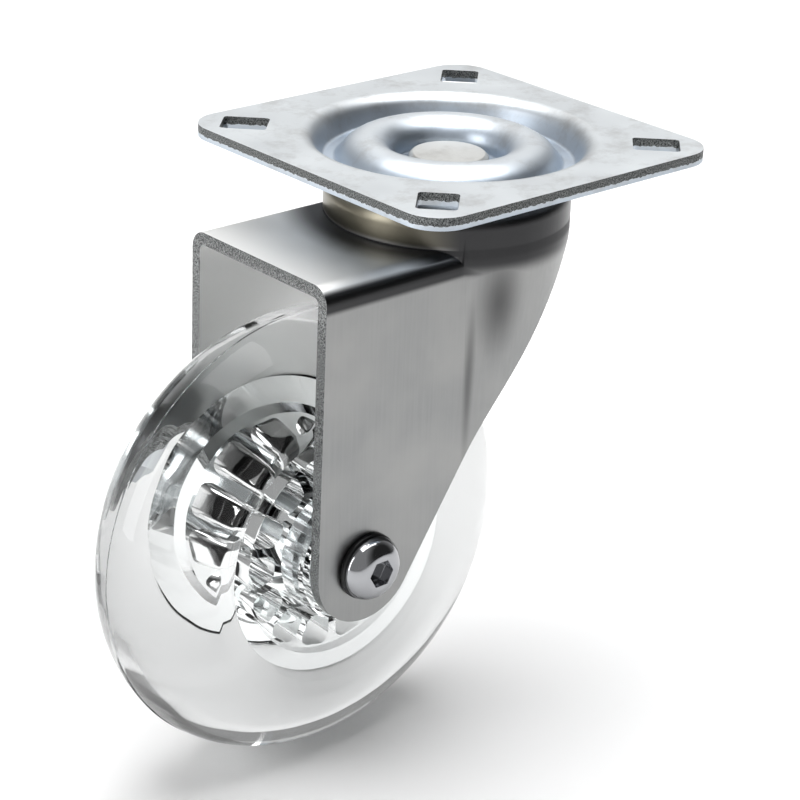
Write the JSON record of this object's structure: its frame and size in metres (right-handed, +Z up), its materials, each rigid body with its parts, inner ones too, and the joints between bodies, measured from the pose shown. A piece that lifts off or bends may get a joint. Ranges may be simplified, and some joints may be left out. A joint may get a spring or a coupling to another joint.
{
  "type": "swivel caster",
  "caption": "Top-plate swivel caster with a pressed steel fork, a ball-race swivel head and a clear wheel with a ribbed clear core.",
  "frame": {"origin": "on the swivel axis, at the top plate's upper face", "axes": "+Z up out of the plate, wheel trailing towards -X, axle along Y with its button head on -Y"},
  "size_m": [0.0965, 0.06, 0.098],
  "materials": {
    "zinc_plated_steel": "zinc plated, satin, faintly blue",
    "bare_steel_rivet": "dull zinc plated, cold headed",
    "bright_plated_steel": "bright plated over drawn sheet",
    "polished_steel": "dark polished plating",
    "black_washer": "black, semi-gloss",
    "bearing_steel": "ground and polished",
    "pressed_cage": "pressed strip steel",
    "clear_core": "clear moulded polycarbonate, polished",
    "clear_tyre": "clear cast polyurethane, glossy"
  },
  "bodies": {
    "plate": {"top_plate": "zinc_plated_steel", "kingpin": "bare_steel_rivet", "lower_race": "zinc_plated_steel"},
    "upper_ball_set": {"upper_balls": "bearing_steel"},
    "lower_ball_set": {"lower_balls": "bearing_steel"},
    "fork_frame": {"fork": "bright_plated_steel", "axle_screw": "polished_steel", "head_washer": "black_washer", "nut_washer": "zinc_plated_steel", "lock_nut": "zinc_plated_steel", "axle_sleeve": "zinc_plated_steel", "head_side_spacer": "zinc_plated_steel", "nut_side_spacer": "zinc_plated_steel", "head_side_bearing_inner_ring": "bearing_steel", "nut_side_bearing_inner_ring": "bearing_steel"},
    "wheel": {"wheel_core": "clear_core", "tyre": "clear_tyre", "head_side_bearing_outer_ring": "bearing_steel", "nut_side_bearing_outer_ring": "bearing_steel", "head_side_bearing_outer_shield": "bearing_steel", "head_side_bearing_inner_shield": "bearing_steel", "nut_side_bearing_outer_shield": "bearing_steel", "nut_side_bearing_inner_shield": "bearing_steel"},
    "head_side_ball_cage": {"head_side_bearing_balls": "bearing_steel", "head_side_bearing_cage": "pressed_cage"},
    "nut_side_ball_cage": {"nut_side_bearing_balls": "bearing_steel", "nut_side_bearing_cage": "pressed_cage"}
  },
  "joints": [
    {"name": "swivel", "type": "hinge", "parent": "plate", "child": "fork_frame", "pos_m": [0, 0, 0], "axis": [0, 0, 1], "continuous": true},
    {"name": "wheel_spin", "type": "hinge", "parent": "fork_frame", "child": "wheel", "pos_m": [-0.029, 0, -0.0605], "axis": [0, 1, 0], "continuous": true},
    {"name": "upper_balls_roll", "type": "hinge", "parent": "plate", "child": "upper_ball_set", "pos_m": [0, 0, 0], "axis": [0, 0, 1], "continuous": true},
    {"name": "lower_balls_roll", "type": "hinge", "parent": "plate", "child": "lower_ball_set", "pos_m": [0, 0, 0], "axis": [0, 0, 1], "continuous": true},
    {"name": "head_side_balls_roll", "type": "hinge", "parent": "fork_frame", "child": "head_side_ball_cage", "pos_m": [-0.029, 0, -0.0605], "axis": [0, 1, 0], "continuous": true},
    {"name": "nut_side_balls_roll", "type": "hinge", "parent": "fork_frame", "child": "nut_side_ball_cage", "pos_m": [-0.029, 0, -0.0605], "axis": [0, 1, 0], "continuous": true}
  ],
  "couplings": [
    {"joint": "upper_balls_roll", "follows": "swivel", "ratio": 0.5},
    {"joint": "lower_balls_roll", "follows": "swivel", "ratio": 0.55},
    {"joint": "head_side_balls_roll", "follows": "wheel_spin", "ratio": 0.64},
    {"joint": "nut_side_balls_roll", "follows": "wheel_spin", "ratio": 0.64}
  ]
}
